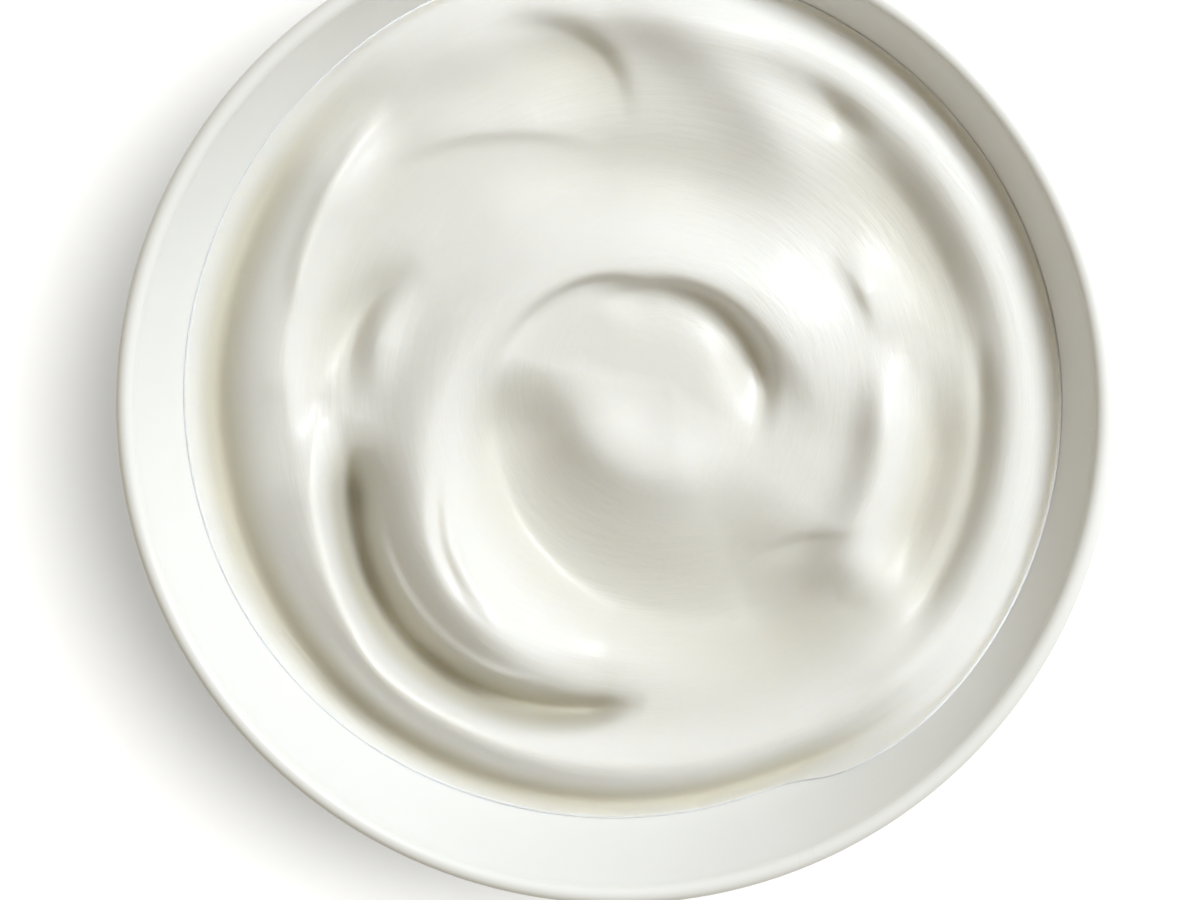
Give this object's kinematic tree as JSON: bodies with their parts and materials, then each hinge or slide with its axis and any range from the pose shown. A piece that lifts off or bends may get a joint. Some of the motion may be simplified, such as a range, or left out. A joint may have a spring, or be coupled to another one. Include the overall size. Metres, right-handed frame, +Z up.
{
  "type": "bowl of sour cream",
  "caption": "Small footed glazed bowl filled with thick sour cream, its top swirled with a spoon into a spiral of folds, creases and a smooth basin.",
  "frame": {"origin": "centre of the bowl's foot ring, on the plane that it rests on", "axes": "+Z up along the bowl's axis; the deep crease of the swirl lies towards -X, its open basin towards -Y, and the cream is heaped highest against the wall towards +X"},
  "size_m": [0.13, 0.13, 0.052],
  "materials": {
    "glaze": "plain white glaze, glossy and smooth",
    "sour_cream": "thick, smooth and moist, softly glossy, warm white that turns ivory in its creases"
  },
  "bodies": {
    "root": {"bowl": "glaze", "sour_cream": "sour_cream"}
  },
  "joints": []
}
